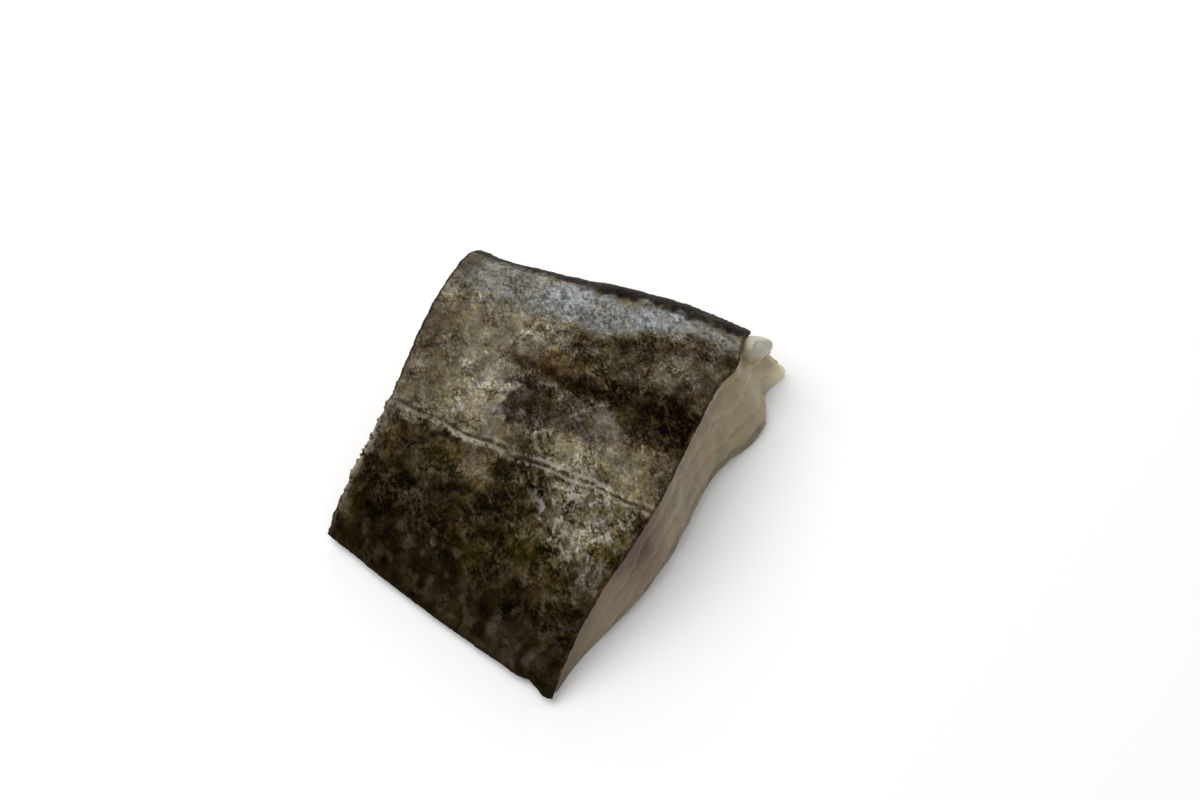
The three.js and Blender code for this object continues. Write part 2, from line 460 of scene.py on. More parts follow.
def flake_share(v, w, first_flake):
    """How far a point of a cut is through its flake, from 0 at one seam to 1 at the next."""
    depth = (1 - w) * skin_side_height(0.5, v)
    y = between(FRONT_RIGHT_Y, BACK_RIGHT_Y, v)
    bend = 0.2 * wander(11, y, depth * 1.6, first_flake) + 0.08 * wander(4, y, depth, first_flake)
    sheet = depth / FLAKE_THICKNESS - 0.011 * np.abs(y - LATERAL_LINE_Y) + first_flake + bend
    return sheet - np.floor(sheet)


def cut_relief(v, w, first_flake):
    depth = (1 - w) * skin_side_height(0.5, v)
    y = between(FRONT_RIGHT_Y, BACK_RIGHT_Y, v)
    share = flake_share(v, w, first_flake)
    flakes = FLAKE_STEP * (share**0.6 * (1 - share) ** 0.45 - 0.35)
    chatter = 0.28 * wander(4, y, depth, 4.3) + 0.1 * wander(1.2, y, depth * 1.5, 5.3)
    return (belly(w) + (flakes + chatter) * fade(w)) * smooth(v, 0, 0.25)


def lump(v, w):
    """A dome: 1 at its top and 0 at its foot and beyond."""
    away = np.hypot((v - LUMP_V) / LUMP_HALF_V, (w - LUMP_W) / LUMP_HALF_W)
    dents = 0.13 * wander(2.5, v * DEPTH, w * CROWN_HEIGHT, 14.3)
    return np.sqrt(np.clip(1 - (away + dents) ** 2, 0, 1)) + dents * (away < 0.8)


def flesh_shape(u, v, w):
    points = between(underside(u, v), skin_side(u, v), w[:, None])
    to_right, to_left, to_back = smooth(u, 0.8, 1), smooth(1 - u, 0.8, 1), smooth(v, 0.85, 1)
    on_side = (w > 0) & (w < 1)
    right = cut_relief(v, w, RIGHT_FIRST_FLAKE)
    left = cut_relief(v, w, LEFT_FIRST_FLAKE)
    points[:, 0] += on_side * (to_right * right - to_left * left)
    x, depth = points[:, 0], points[:, 2]
    back_seams = SEAM_DEPTH * seam(x + 6 * w + 0.8 * wander(6, x, depth, 6.3), MIDDLE_GROOVE_Y) * fade(w)
    back_grain = 0.15 * wander(1.5, x / 2, depth, 7.3) * fade(w)
    points[:, 1] += on_side * to_back * (belly(w) - back_seams + back_grain)
    meet_skin = (SKIN_GAP + 0.02) * smooth(w, 0.9, 1)
    bulge = np.where(u >= 1, lump(v, w), 0)[:, None] * LUMP_REACH
    return points + skin_normal(u, v) * meet_skin[:, None] + bulge


# %% [markdown]
# The material needs to know where it is: in a seam, in the dark muscle close to the skin, on the low edge
# and the front of a cut, where shade is painted, towards the back and on the flap's curled edge, where light
# is painted, or on the pale lump of fatty tissue under the back right corner. The shape's own formulas
# know, so they paint those values on the mesh's points.

# %% Make the flesh
FLESH_COUNTS = (184, 232, 56)


def flesh_paint(u, v, w, points):
    source = points - shift
    height = skin_side_height(u, v)
    dark_part = bell(v, 0.34, 0.08)
    dark_muscle = (0.2 + 0.8 * dark_part) * bell((1 - w) * height, 0, 5 + 9 * dark_part)
    on_cut = np.maximum(u >= 1, u <= 0)
    first = np.where(u > 0.5, RIGHT_FIRST_FLAKE, LEFT_FIRST_FLAKE)
    share = flake_share(v, w, first)
    cut_seam = bell(np.minimum(share, 1 - share) * FLAKE_THICKNESS, 0, 1.3) * on_cut
    under_seam = bell(seam_distance(source[:, 0], source[:, 1]), 0, 1.1) * (w <= 0)
    back_seam = bell(seam_distance(source[:, 0] + 6 * w, MIDDLE_GROOVE_Y), 0, 1.1) * (v >= 1)
    return {
        "seam": np.maximum.reduce([cut_seam, under_seam, back_seam]) * smooth(v, 0.02, 0.2),
        "near_skin": dark_muscle,
        # painted shade: the low edge and the front of each cut come out darker
        "low_edge": np.maximum(bell(w, 0, 0.2), bell(v, 0.02, 0.14)) * on_cut,
        # painted light: the flesh comes out paler towards the back
        "fresh": smooth(v, 0.6, 0.85),
        "pale_lump": np.clip(1.3 * lump(v, w), 0, 1) * (u > 0.9),
        # painted highlight on the flap's curled edge
        "thin_flap": bell(v, 0.99, 0.05) * bell(w, 0.1, 0.25) * (u > 0.9),
    }


flesh = shaped_box("cod_flesh", FLESH_COUNTS, 1, flesh_shape, flesh_paint)

# %% [markdown]
# ## The skin
#
# Cod skin is a thin, tough sheet with tiny scales set into it. Its one landmark is the lateral line, a
# raised pale seam with a groove along it. The knife leaves a ragged rim, and the sheet is a little wavy
# because the flesh under it is soft. All of that is true relief here, and only what is finer than a scale
# is left to the material.

# %% The lateral line
LINE_RIDGE, LINE_WIDTH = 0.45, 1.7
LINE_LIFT_LEFT = 2.6


def line_y(x):
    """The line runs level and bends up towards the left cut. x and the result are in the curves' own mm."""
    bend = LINE_LIFT_LEFT * smooth(-x, 20, 44)
    return LATERAL_LINE_Y + 0.3 + bend + 0.35 * np.sin(x / 6) + 0.2 * np.sin(x / 2.3 + 1)


def left_part(x):
    """1 where the line is one wide seam, 0 where it has split into two thin ones."""
    return smooth(-x, 2, 12)


def line_relief(x, y):
    away = y - line_y(x)
    ridge = LINE_RIDGE * bell(away, 0, LINE_WIDTH)
    groove = 0.35 * bell(away, 0, 0.4) * (1 - left_part(x))
    left_groove = 0.25 * bell(away, 1.3, 0.35) * left_part(x)
    right_groove = 0.15 * bell(away, -1.9, 0.35) * (1 - left_part(x))
    return ridge - groove - left_groove - right_groove


# %% The relief of the skin
SCALE_SIZE, SCALE_DEPTH = 1.35, 0.07


def scale_net(x, y):
    """0 on the net between the scales and 1 inside them."""
    x, y = x + 0.3 * wander(1.1, x, y, 8.3), y + 0.3 * wander(1.1, x, y, 9.3)
    places = zip((x / SCALE_SIZE).tolist(), (y / SCALE_SIZE).tolist())
    nearest = np.array([noise.voronoi((a, b, 0.5))[0][:2] for a, b in places])
    return smooth(nearest[:, 1] - nearest[:, 0], 0.02, 0.35)


def skin_relief(x, y):
    waves = 0.22 * wander(13, x, y, 10.3) + 0.12 * wander(4.5, x, y, 11.3) + 0.05 * wander(1.6, x, y, 13.3)
    creases = -0.12 * bell(wander(7, x * 0.5 + y * 0.4, y - x * 0.3, 12.3), 0, 0.05)
    return waves + creases + line_relief(x, y) + SCALE_DEPTH * (scale_net(x, y) - 0.5)


# %% [markdown]
# The rim is ragged in the sheet's own plane: small teeth, and larger ones on the left cut below the
# lateral line, where the knife tore scales off. A small lobe hangs at the front right corner, and the
# back left corner is drawn out a little. The shift dies away within a few millimetres, so the sheet
# inside stays calm.

# %% The rim of the skin
RAGGED_REACH = 1.3
RIM_BULGE = 0.22


def teeth(along, layer):
    return 0.14 * wander(3.1, along, 0.0, layer) + 0.17 * np.maximum(wander(0.9, along, 0.0, layer + 1), 0)


def rim_distances(u, v):
    """How far a point is from the left, right, front and back rim, in mm."""
    return u * WIDTH, (1 - u) * WIDTH, v * DEPTH, (1 - v) * DEPTH


def torn(v):
    return bell(v, 0.21, 0.13)


def ragged(u, v):
    left, right, front, back = rim_distances(u, v)
    x, y = u * WIDTH, v * DEPTH
    tear = 1 + 3.4 * torn(v)
    at_left, at_right = np.exp(-left / RAGGED_REACH), np.exp(-right / RAGGED_REACH)
    sideways = teeth(y, 21.3) * at_right - tear * teeth(y, 24.3) * at_left
    lobe = 0.9 * bell(u, 0.97, 0.025) - 0.7 * bell(u, 0.9, 0.02)
    corner = 1.1 * bell(u, 0.01, 0.05) * np.exp(-back / 2.5)
    at_back, at_front = np.exp(-back / RAGGED_REACH), np.exp(-front / RAGGED_REACH)
    lengthways = teeth(x, 27.3) * at_back + corner - (teeth(x, 30.3) + lobe) * at_front
    return sideways, lengthways


def skin_shape(u, v, w):
    wide, deep = skin_shares(u, v)
    surface = skin_side(wide, deep)
    sideways, lengthways = ragged(u, v)
    on_edge = hump(w) * RIM_BULGE
    surface[:, 0] += sideways + on_edge * ((u >= 1) * 1.0 - (u <= 0))
    surface[:, 1] += lengthways + on_edge * ((v >= 1) * 1.0 - (v <= 0))
    lift = SKIN_GAP + w * SKIN_THICKNESS + (w >= 1) * skin_relief(surface[:, 0], surface[:, 1])
    return surface + skin_normal(wide, deep) * lift[:, None]


# %% [markdown]
# ## Painting the skin's pattern
#
# A cod is camouflaged: pale mottles, dark saddles and an almost black belly edge, each with soft and
# frayed borders. Each large blotch is an ellipse in a tone from 0, black, to 1, white. They are laid down
# region by region, later ones over earlier ones, and noise frays their borders. A mottle of smaller
# blotches comes from noise alone. Painting all this on the mesh's points keeps the material simple, and
# the material then adds what is finer than two millimetres.

# %% Patches of tone
MID = 0.36
TONE_PATCHES = [
    # tone, centre and half size in the part's own mm, turn in degrees, width of the border
    # the skin behind the shoulder, kept dark partly as painted shade where it turns down, its right end,
    # and the dark line below the sheen
    (0.08, (0, 55), (80, 9), 4, 0.2),
    (0.22, (30, 37), (8, 5), 0, 0.4),
    (0.16, (17, 34), (5, 3), 15, 0.5),
    # beige under the shoulder, with a darker corner and two pale blotches
    (0.36, (-30, 26), (17, 7), 0, 0.5),
    (0.25, (-42, 38), (5, 5), 0, 0.5),
    (0.44, (-43, 30), (3, 5), 0, 0.5),
    (0.50, (-13, 30), (6, 5), 0, 0.6),
    # the left cut, with one dark spot
    (0.29, (-43, 12), (6, 10), 0, 0.5),
    (0.17, (-39, 11), (3, 3), 0, 0.5),
    # the pale flank, its darker left part and its brightest strip
    (0.40, (-23, 10), (8, 15), 0, 0.4),
    (0.45, (-19, 25), (8, 4), 10, 0.5),
    (0.31, (-35, 2), (6, 6), 0, 0.6),
    (0.38, (-28, -2), (5, 4), 0, 0.6),
    (0.48, (-17, 1), (4, 8), 0, 0.4),
    (0.42, (-20, -9), (5, 3), 0, 0.5),
    # the dark saddle: a paler half, a darker half, streaks into the flank and a pinkish blotch
    (0.20, (13, 26), (22, 8), 2, 0.25),
    (0.11, (12, 15), (24, 5), 2, 0.4),
    (0.16, (-13, 15), (5, 2), -20, 0.7),
    (0.06, (28, 13), (8, 8), 0, 0.4),
    (0.31, (23, 27), (6, 5), 0, 0.5),
    # the cool shadow beside the pale flank, and what it fades into on the right
    (0.19, (-7, 4), (7, 8), 0, 0.15),
    (0.24, (-5, 0), (4, 3), 0, 0.6),
    (0.26, (6, 4), (6, 5), -10, 0.5),
    (0.12, (24, 8), (10, 5), -8, 0.4),
    # the pale band above the lateral line, and the shadow that crosses the line
    (0.40, (15, -5), (16, 5), 0, 0.45),
    (0.46, (11, -5), (4, 4), 0, 0.6),
    (0.29, (31, -3), (4, 6), 0, 0.5),
    (0.21, (-4, -8), (7, 3), 0, 0.6),
    # below the line on the right: scales without pigment
    (0.32, (19, -18), (11, 10), -14, 0.4),
    (0.48, (20, -22), (4, 4), -20, 0.6),
    (0.47, (17, -12), (6, 3), 0, 0.6),
    (0.40, (26, -10), (5, 3), 0, 0.6),
    (0.31, (9, -26), (5, 4), 0, 0.5),
    (0.29, (25, -32), (4, 5), 0, 0.5),
    # below the line on the left: pale and dark blotches in turn
    (0.27, (-13, -17), (7, 5), -25, 0.4),
    (0.24, (-40, -14), (4, 5), 0, 0.5),
    (0.14, (-2, -17), (7, 5), 0, 0.5),
    (0.16, (-29, -15), (8, 4), -10, 0.5),
    (0.20, (-26, -21), (5, 4), 0, 0.6),
    (0.17, (8, -32), (9, 5), -10, 0.5),
    # the almost black front, with a paler corner
    (0.08, (-28, -34), (12, 5), -15, 0.4),
    (0.08, (-34, -26), (6, 4), 0, 0.5),
    (0.11, (-10, -43), (8, 3), -15, 0.6),
    (0.14, (2, -40), (5, 3), 0, 0.6),
    (0.17, (-43, -31), (3, 5), 0, 0.6),
]


def patch(x, y, centre, half_size, turn, border):
    """1 inside an ellipse and 0 outside, with a border as wide as that share of its half size."""
    across, along = x - centre[0], y - centre[1]
    slant = radians(turn)
    first = (across * cos(slant) + along * sin(slant)) / half_size[0]
    second = (along * cos(slant) - across * sin(slant)) / half_size[1]
    return 1 - smooth(np.hypot(first, second), 1 - border, 1 + border)


def fray(x, y):
    """Moves points about, so that whatever is painted there gets a frayed border."""
    shifts = []
    for layer in (40.3, 43.3):
        fine = 1.4 * wander(2.4, x, y, layer) + 0.8 * wander(1.1, x, y, layer)
        shifts.append(1.7 * wander(7, x, y, layer) + fine)
    return x + shifts[0], y + shifts[1]


def paint_tone(x, y):
    frayed_x, frayed_y = fray(x, y)
    above_line = smooth(frayed_y - shift[1] - line_y(x - shift[0]), -2.0, 1.0)
    tone = between(0.125, MID, above_line)
    for target, *form in TONE_PATCHES:
        tone = between(tone, target, patch(frayed_x, frayed_y, *form))
    mottle = wander(6.5, x, y, 34.3) + 1.3 * wander(3.1, x, y, 37.3)
    freckles = smooth(wander(2.6, x, y, 31.3), 0.1, 0.6) * (1 - above_line)
    return tone + (0.03 + 0.075 * tone) * mottle + 0.08 * freckles - 0.02 * (1 - above_line)


# %% [markdown]
# A tone says how dark the skin is, and not yet which colour it has. Three tints say that: olive where it
# is yellowish, rust where it is reddish and cool where it is purplish grey. The pale sheen along the
# shoulder is a fourth value: where it lies, a highlight is painted into the colour, and a real reflection
# adds to it. Its lower border climbs towards the right, so the band narrows there, and noise breaks it up.

# %% Patches of tint
OLIVE_PATCHES = [
    (0.35, (-14, -18), (30, 9), -12, 0.3),  # the whole side below the line
    (0.45, (17, -20), (15, 12), -12, 0.3),
    (0.4, (14, -4), (18, 5), 0, 0.5),
    (0.8, (-24, -13), (9, 4), -10, 0.6),
    (0.8, (-3, -16), (6, 5), -10, 0.6),
    (0.8, (5, -28), (6, 5), -10, 0.6),
    (0.8, (12, -33), (5, 5), 0, 0.6),
    (1.0, (19, -37), (4, 4), 0, 0.5),
    (0.8, (-8, -33), (6, 5), 0, 0.6),
    (0.9, (-43, -32), (4, 6), 0, 0.6),
    (0.8, (27, -24), (5, 6), 0, 0.6),
    (0.4, (-27, 0), (4, 6), 0, 0.6),
]
RUST_PATCHES = [
    (1.0, (-3, 18), (7, 4), -5, 0.6),
    (0.5, (28, 3), (7, 4), 0, 0.6),
    (1.0, (33, -13), (6, 9), 0, 0.6),
    (0.8, (-35, -15), (4, 4), 0, 0.6),
    (0.5, (14, -37), (6, 4), 0, 0.6),
    (0.5, (-35, 24), (6, 5), 0, 0.6),
    (0.3, (-10, -20), (10, 6), 0, 0.7),
]
COOL_PATCHES = [
    (1.0, (-7, 4), (7.5, 7), 0, 0.25),
    (0.5, (7, 6), (8, 5), 0, 0.6),
    (0.9, (-40, -14), (4, 6), 0, 0.6),
    (0.6, (-22, -25), (4, 3), 0, 0.6),
    (0.4, (26, -36), (4, 4), 0, 0.6),
    (0.9, (10, -46), (30, 9), -14, 0.5),
    (0.6, (-25, -38), (22, 8), -14, 0.6),
]


def paint_tint(x, y, patches, layer):
    """Within its patches a tint comes and goes in blotches, and a few blotches lie outside them."""
    x, y = fray(x, y)
    place = np.maximum.reduce([strength * patch(x, y, *form) for strength, *form in patches])
    blotches = smooth(wander(4, x, y, layer) + 0.5 * wander(1.8, x, y, layer + 1), -0.4, 0.7)
    return np.clip(place * (0.5 + 0.8 * blotches) + 0.15 * smooth(blotches, 0.6, 1), 0, 1)


def paint_sheen(x, y):
    """The shoulder's pale band, from 0 to 1: a painted highlight in the colour, and a metallic reflection."""
    x, y = x + 1.2 * wander(5, x, y, 46.3), y + 1.3 * wander(4, x, y, 49.3) + 0.6 * wander(1.5, x, y, 52.3)
    lower = 30 + 2 * bell(x, -4, 4) + 11 * smooth(x, -6, 22)
    upper = 45 + 2.5 * smooth(x, 2, 12) - 1.5 * bell(x, 2, 4)
    band = smooth(y, lower - 2.5, lower + 3.5) * (1 - smooth(y, upper - 3, upper + 1))
    blotches = 0.5 * wander(5, x, y, 55.3) + 0.35 * wander(2, x, y, 58.3)
    strength = 0.55 - 0.42 * smooth(-x, 31, 43) + 0.4 * bell(x, -13, 8) + 0.55 * bell(x, 12, 10)
    strength -= 0.32 * bell(x, -22, 4.5)
    return np.clip(band * strength * (1 + 0.7 * blotches), 0, 1)


# %% Make the skin
SKIN_COUNTS = (240, 336, 3)


def skin_paint(u, v, w, points):
    x, y = points[:, 0], points[:, 1]
    source_x, source_y = x - shift[0], y - shift[1]
    left, right, front, back = rim_distances(u, v)
    below_line = patch(x, y, (18, -19), (13, 11), -12, 0.4)
    above_line = patch(x, y, (14, -4), (18, 6), 0, 0.5)
    return {
        "tone": paint_tone(x, y),
        "olive": paint_tint(x, y, OLIVE_PATCHES, 61.3),
        "rust": paint_tint(x, y, RUST_PATCHES, 64.3),
        "cool": paint_tint(x, y, COOL_PATCHES, 67.3),
        "sheen": paint_sheen(x, y),
        "lively": 1 - 0.5 * smooth(-y - 0.25 * x, 36, 44) - 0.12 * smooth(-y, 14, 26),
        "flecks": np.maximum(below_line, 0.5 * above_line),
        "rim_away": np.minimum.reduce([left, right, front, 0.55 * back]),
        "right_away": right,
        "torn": torn(v) * bell(left, 0, 1.2),
        "scale": scale_net(source_x, source_y),
        "line_away": source_y - line_y(source_x),
        "line_left": left_part(source_x),
        "line_white": bell(x, -17, 7),
    }


skin = shaped_box("cod_skin", SKIN_COUNTS, 0, skin_shape, skin_paint)

# %% [markdown]
# ## The finish of the skin
#
# Wet skin is two layers to the light: pigment below, and a film of water and slime above. The painted
# tone gets a speckle of four parts: blotches, grains, short strokes that slant across the fish, and thin
# dark veins, where the strokes' noise passes through its middle value. The net between the scales darkens
# it a little more. Two ramps turn the tone into colour, one brown and one olive, and the olive tint
# chooses between them. Rust and cool are weak multiplications, because they leave the black parts black.

# %% Pigment
wet_skin = Finish("wet_skin")
place = wet_skin.place()
tone = wet_skin.attribute("tone")
sheen = wet_skin.attribute("sheen")
scale = wet_skin.attribute("scale")
flecks = wet_skin.attribute("flecks")

blotches = wet_skin.clouds(place, 2.6, 3.0, 0.65, 0.8)
grains = wet_skin.clouds(place, 0.8, 2.0, 0.6)
strokes = wet_skin.clouds(wet_skin.grain(place, -50, (3.4, 1.3, 1.6)), 1.0, 3.0, 0.6, 0.8)
busy = wet_skin.clouds(place, 6.0, 2.0, 0.5).rise(0.38, 0.62)
veins = abs(strokes - 0.5).rise(0.07, 0.01)

soft = (blotches - 0.5) * 1.2 + (strokes - 0.5) * 0.6 + (grains - 0.5) * 0.8
hard = 0.14 + (scale - 0.85) * 0.16 - veins * 0.24
speckle = (soft + hard) * (0.6 + busy * 0.8) * wet_skin.attribute("lively")
toned = tone * 0.93 + 0.001 + speckle * (0.25 + tone * 0.4 + flecks * 0.18)

BROWNS = [
    (0.02, screen(6, 2, 0)),
    (0.10, screen(30, 22, 6)),
    (0.17, screen(50, 41, 26)),
    (0.25, screen(71, 62, 47)),
    (0.36, screen(99, 91, 75)),
    (0.48, screen(128, 121, 102)),
    (0.60, screen(159, 153, 134)),
    (0.78, screen(204, 200, 184)),
]
OLIVES = [
    (0.02, screen(6, 3, 0)),
    (0.10, screen(30, 24, 0)),
    (0.17, screen(51, 43, 13)),
    (0.25, screen(74, 65, 34)),
    (0.36, screen(102, 94, 67)),
    (0.48, screen(130, 122, 94)),
    (0.60, screen(160, 153, 130)),
    (0.78, screen(204, 200, 182)),
]
hue = wet_skin.clouds(place, 3.5, 2.0, 0.6)
hue_too = wet_skin.clouds(wet_skin.grain(place, 40, (4.5, 3.0, 3.0)), 1.0, 2.0, 0.6)
olive = wet_skin.attribute("olive") + (hue - 0.5) * 1.8
rust = wet_skin.attribute("rust") + (hue_too - 0.52) * 1.6
cool = wet_skin.attribute("cool") + (0.5 - hue_too) * 2.3 - sheen * 0.5
pigment = wet_skin.mix(olive, wet_skin.ramp(toned, BROWNS), wet_skin.ramp(toned, OLIVES))
RUST_SHIFT = (1.1, 0.9, 0.66, 1)
COOL_SHIFT = (0.91, 0.99, 1.43, 1)
pigment = wet_skin.mix(rust, pigment, RUST_SHIFT, "MULTIPLY")
pigment = wet_skin.mix(cool, pigment, COOL_SHIFT, "MULTIPLY")

# %% [markdown]
# The shoulder's sheen is partly a painted highlight, a bluish grey mixed into the colour that keeps the
# speckle, and partly a real reflection of the low softbox, as the band is also metallic. On the right,
# below the lateral line and a little above it, some scales have lost their pigment and show as whitish
# chips. The lateral line is drawn from the distance to its middle in millimetres: one wide pale seam on
# the left, and on the right two thin ones with a dark groove between them. The speckle makes them wander
# a little and breaks them up.

# %% Sheen, white flecks and lateral line
PAINTED_SHEEN_DARK = screen(88, 88, 86)
PAINTED_SHEEN_LIGHT = screen(145, 151, 154)
FLECK_COLOUR = (*screen(178, 177, 166), 1)
LINE_COLOUR = (*screen(158, 150, 136), 1)
GROOVE_COLOUR = (*screen(44, 38, 34), 1)

away = wet_skin.attribute("line_away") + (blotches - 0.5) * 1.6
line_left = wet_skin.attribute("line_left")
line_right = 1 - line_left


def line_at(offset, half_width):
    return abs(away - offset).rise(half_width * 1.5, half_width * 0.5)


# painted highlight: the sheen mixes a bluish grey into the colour along the shoulder
painted_sheen_colour = wet_skin.ramp(0.5 + soft * 1.2 + hard * 0.8, [(0.2, PAINTED_SHEEN_DARK), (0.75, PAINTED_SHEEN_LIGHT)])
pigment = wet_skin.mix(sheen * (0.6 + blotches.rise(0.35, 0.55) * 0.35), pigment, painted_sheen_colour)
chips = wet_skin.clouds(wet_skin.grain(place, 20, (2.2, 3.4, 2.5)), 1.0, 2.0, 0.5, 0.6)
fleck_share = flecks * chips.rise(0.55, 0.7) * 0.55
pigment = wet_skin.mix(fleck_share, pigment, FLECK_COLOUR)
wide_seam = line_at(0, 0.65) * (0.3 + wet_skin.attribute("line_white") * 0.45) + line_at(2.3, 0.3) * 0.25
thin_seams = line_at(-0.95, 0.4) * 0.42 + line_at(1.05, 0.45) * 0.45
seams = wide_seam * line_left + thin_seams * line_right
pigment = wet_skin.mix(seams * (blotches + strokes).rise(0.78, 1.04), pigment, LINE_COLOUR)
grooves = line_at(1.2, 0.3) * line_left + (line_at(0, 0.35) + line_at(-1.7, 0.25) * 0.6) * line_right
pigment = wet_skin.mix(grooves * strokes.rise(0.66, 0.46) * 0.7, pigment, GROOVE_COLOUR)

# %% [markdown]
# The rim is dark where the scales end. On the left the knife tore it, and pale tissue shows between dark
# crumbs. On the right, parts of the last half millimetre get a painted orange brown glow, the look of
# light that comes through the flesh.

# %% Rim
RIM_COLOUR = (*screen(30, 23, 14), 1)
PAINTED_GLOW_COLOUR = (*screen(92, 66, 42), 1)
TISSUE_COLOUR = (*screen(150, 138, 118), 1)

rim = wet_skin.attribute("rim_away").rise(0.9, 0.1)
pigment = wet_skin.mix(rim * 0.8, pigment, RIM_COLOUR)
# a painted glow along the right rim, the look of light coming through the flesh
glow = wet_skin.attribute("right_away").rise(0.6, 0.1) * hue.rise(0.45, 0.65)
pigment = wet_skin.mix(glow * 0.7, pigment, PAINTED_GLOW_COLOUR)
tissue = wet_skin.attribute("torn") * blotches.rise(0.42, 0.52)
pigment = wet_skin.mix(tissue, pigment, TISSUE_COLOUR)

# %% The wet film
film = wet_skin.clouds(place, 6.0, 2.0, 0.5)
surface_height = grains * 0.5 + strokes * 0.5 + blotches * 0.4 + scale * 0.4
skin.data.materials.append(
    wet_skin.close(
        {
            "Base Color": pigment,
            "Metallic": sheen * 0.4,
            "Roughness": 0.42 - sheen * 0.1 + (grains - 0.5) * 0.25,
            "Specular IOR Level": 0.012,
            "Coat Weight": film.rise(0.35, 0.65) * 0.016,
            "Coat Roughness": 0.22,
            "Normal": wet_skin.bump(surface_height, 0.14),
        }
    )
)
print("skin nodes:", len(wet_skin.tree.nodes))

# %% [markdown]
# ## The finish of the flesh
#
# Raw white fish lets light in: it is a greyish cream with a little glow, pinkish in places, reddish brown
# where the dark muscle lies against the skin, and paler in the seams, which are sheets of connective
# tissue. The low edge and the front of each cut are painted greyer and darker, as shade. Towards the back
# the flesh is painted paler, and the flap's curled edge paler still, as light. The flesh's wet film is
# smoother than the skin's, so it shows small, sharp highlights.

# %% Flesh
wet_flesh = Finish("wet_flesh")
place = wet_flesh.place()
seam_line = wet_flesh.attribute("seam")
near_skin = wet_flesh.attribute("near_skin")
cloudy = wet_flesh.clouds(place, 9.0, 2.0, 0.5)
fibres = wet_flesh.clouds(wet_flesh.grain(place, 0, (5.0, 1.2, 1.2)), 1.0, 2.0, 0.5)
pink = wet_flesh.clouds(place, 13.0, 2.0, 0.5)

CREAM = (*screen(140, 123, 93), 1)
GREY_CREAM = (*screen(113, 103, 80), 1)
DARK_MUSCLE = (*screen(80, 52, 32), 1)
PAINTED_EDGE_SHADE = (*screen(70, 63, 46), 1)
PINK_CREAM = (*screen(136, 110, 88), 1)
PALE_TISSUE = (*screen(152, 143, 120), 1)
LIT_BACK_CREAM = (*screen(172, 156, 118), 1)
LUMP_COLOUR = (*screen(176, 172, 158), 1)
FLAP_HIGHLIGHT_COLOUR = (*screen(212, 203, 173), 1)

muscle = wet_flesh.mix(cloudy.rise(0.35, 0.65), CREAM, GREY_CREAM)
muscle = wet_flesh.mix(pink.rise(0.45, 0.65) * 0.45, muscle, PINK_CREAM)
muscle = wet_flesh.mix(fibres.rise(0.45, 0.7) * 0.15, muscle, PALE_TISSUE)
muscle = wet_flesh.mix(seam_line * cloudy.rise(0.35, 0.55) * 0.4, muscle, PALE_TISSUE)
# painted light: paler towards the back
muscle = wet_flesh.mix(wet_flesh.attribute("fresh") * 0.45, muscle, LIT_BACK_CREAM)
muscle = wet_flesh.mix(near_skin * (0.6 + cloudy * 0.7), muscle, DARK_MUSCLE)
# painted shade on the low edge and the front of each cut
muscle = wet_flesh.mix(wet_flesh.attribute("low_edge") * 0.6, muscle, PAINTED_EDGE_SHADE)
muscle = wet_flesh.mix(wet_flesh.attribute("pale_lump"), muscle, LUMP_COLOUR)
# painted highlight on the flap's curled edge
muscle = wet_flesh.mix(wet_flesh.attribute("thin_flap"), muscle, FLAP_HIGHLIGHT_COLOUR)
flesh.data.materials.append(
    wet_flesh.close(
        {
            "Base Color": muscle,
            "Roughness": 0.36 + (fibres - 0.5) * 0.2,
            "Specular IOR Level": 0.28,
            "Subsurface Weight": 0.35,
            "Subsurface Radius": (1.0, 0.55, 0.3),
            "Subsurface Scale": 3 * MM,
            "Coat Weight": cloudy.rise(0.3, 0.7) * 0.2,
            "Coat Roughness": 0.15,
            "Normal": wet_flesh.bump(fibres, 0.1),
        }
    )
)
print("flesh nodes:", len(wet_flesh.tree.nodes))

# %% [markdown]
# ## Fitting the pieces to the part
#
# The two pieces ride on the part's only body and stand for its two solids, which are hidden.

# %% Fit
for piece, node_name in ((flesh, "flesh"), (skin, "skin")):
    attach(piece, "root")
    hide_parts(node_name)

# %% [markdown]
# ## Floor and light
#
# A near-white floor bounces light up into the cuts, which is what makes raw fish look fresh. Most of the
# light comes from all sides, so the shadow is faint. A large softbox on the left lights the top. It
# stands well out of the line in which the skin would mirror it, so the dark skin stays dark. A second,
# low one behind the portion does the opposite: it is exactly where the shoulder mirrors it, and gives the
# pale band its shine.

# %% Floor
FLOOR_SIZE = 3.0
floor_mesh = bpy.data.meshes.new("floor")
half = FLOOR_SIZE / 2
floor_corners = [(-half, -half, 0), (half, -half, 0), (half, half, 0), (-half, half, 0)]
floor_mesh.from_pydata(floor_corners, [], [(0, 1, 2, 3)])
floor = bpy.data.objects.new("floor", floor_mesh)
bpy.context.scene.collection.objects.link(floor)
floor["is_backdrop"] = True
plain = Finish("plain_floor")
FLOOR_COLOUR = (0.94, 0.94, 0.94, 1)
floor_sockets = {"Base Color": FLOOR_COLOUR, "Roughness": 0.9, "Specular IOR Level": 0.1}
floor_mesh.materials.append(plain.close(floor_sockets))

# %% Lights


def from_angles(azimuth, elevation):
    """The direction towards a place seen at that angle. Azimuth 0 is in front, at -Y, and 90 on the right."""
    a, e = radians(azimuth), radians(elevation)
    return Vector((sin(a) * cos(e), -cos(a) * cos(e), sin(e)))


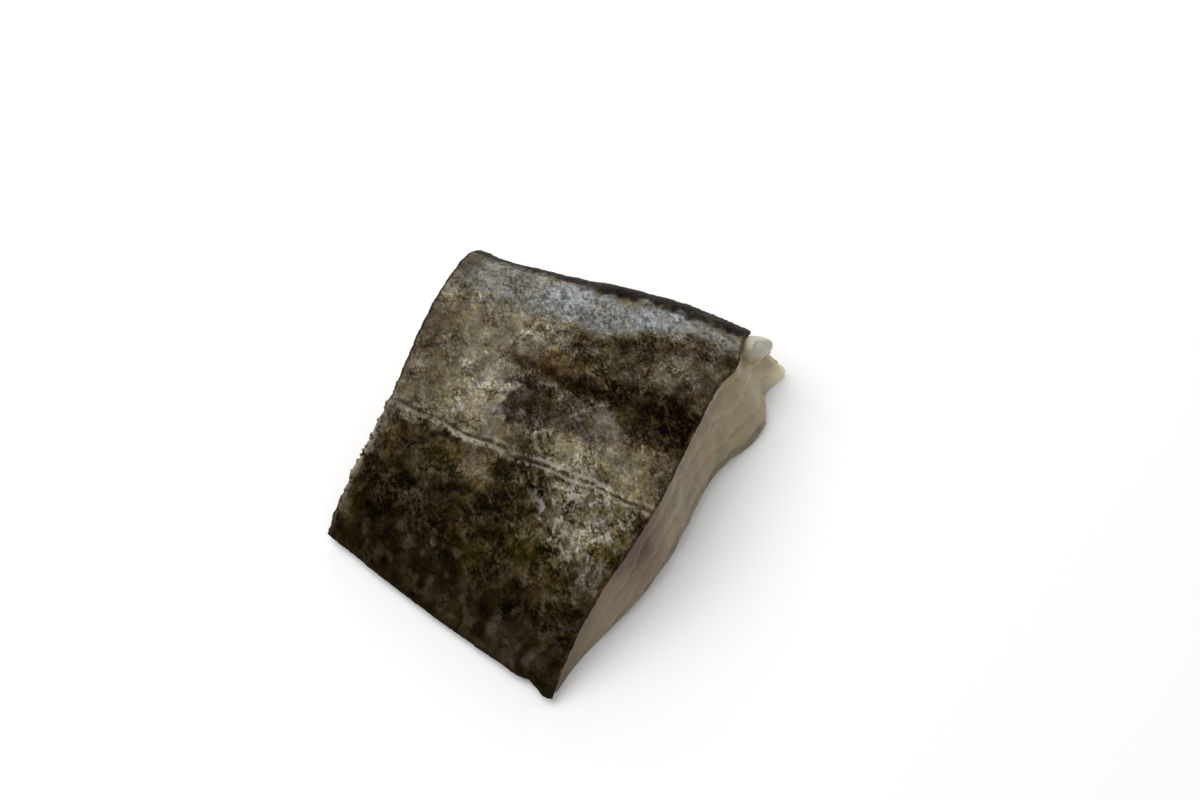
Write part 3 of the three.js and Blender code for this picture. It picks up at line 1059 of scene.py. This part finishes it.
def softbox(name, azimuth, elevation, distance, size, radiance):
    """A square light that faces the portion. Its power follows from how bright its surface is."""
    light = bpy.data.lights.new(name, "AREA")
    light.shape = "RECTANGLE"
    light.size, light.size_y = size
    light.energy = radiance * pi * size[0] * size[1]
    lamp = bpy.data.objects.new(name, light)
    lamp.location = from_angles(azimuth, elevation) * distance
    lamp.rotation_euler = lamp.location.to_track_quat("Z", "Y").to_euler()
    bpy.context.scene.collection.objects.link(lamp)
    print(f"{name}: {light.energy:.1f} W")


softbox("key_left", -85, 60, 1.0, (0.9, 0.9), 2.7)
softbox("low_back", 194, 22, 1.0, (1.0, 0.4), 2.3)

WORLD_STRENGTH = 0.57
world = bpy.data.worlds.new("studio")
world.use_nodes = True
world.node_tree.nodes["Background"].inputs["Color"].default_value = (1, 1, 1, 1)
world.node_tree.nodes["Background"].inputs["Strength"].default_value = WORLD_STRENGTH
bpy.context.scene.world = world
bpy.context.scene.view_settings.view_transform = "Standard"

# %% [markdown]
# ## Camera
#
# The photograph looks down at 58 degrees from a little right of the front. The camera's distance sets how
# strongly the far edge shrinks, and the point that it aims past the middle of the frame sets where the
# portion lies in the picture.

# %% Camera
AZIMUTH, ELEVATION, DISTANCE = 24, 58, 0.48
IMAGE_SIZE = (1200, 800)
FOCAL_PIXELS = 1872
SENSOR_MM = 36
AIM = Vector((*shift[:2], 14)) * MM
AIM_PIXEL = (548, 470)

towards_camera = from_angles(AZIMUTH, ELEVATION)
right = Vector((cos(radians(AZIMUTH)), sin(radians(AZIMUTH)), 0))
up = towards_camera.cross(right)
aside = (AIM_PIXEL[0] - IMAGE_SIZE[0] / 2) / FOCAL_PIXELS * DISTANCE
above = (IMAGE_SIZE[1] / 2 - AIM_PIXEL[1]) / FOCAL_PIXELS * DISTANCE
camera_data = bpy.data.cameras.new("camera")
camera_data.sensor_width = SENSOR_MM
camera_data.lens = FOCAL_PIXELS / IMAGE_SIZE[0] * SENSOR_MM
camera_data.clip_start = 0.01
camera = bpy.data.objects.new("camera", camera_data)
camera.matrix_world = Matrix((right, up, towards_camera)).transposed().to_4x4()
camera.location = AIM + towards_camera * DISTANCE - right * aside - up * above
bpy.context.scene.collection.objects.link(camera)
bpy.context.scene.camera = camera
print("lens:", round(camera_data.lens, 2), "mm, camera at", [round(x, 3) for x in camera.location])

# %% Sizes and the end
sizes = {"solids": [list(corner) for corner in solid_box], "pieces": [list(corner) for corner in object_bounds()]}
print("pieces, size in mm:", [round((b - a) / MM, 1) for a, b in zip(*sizes["pieces"])])
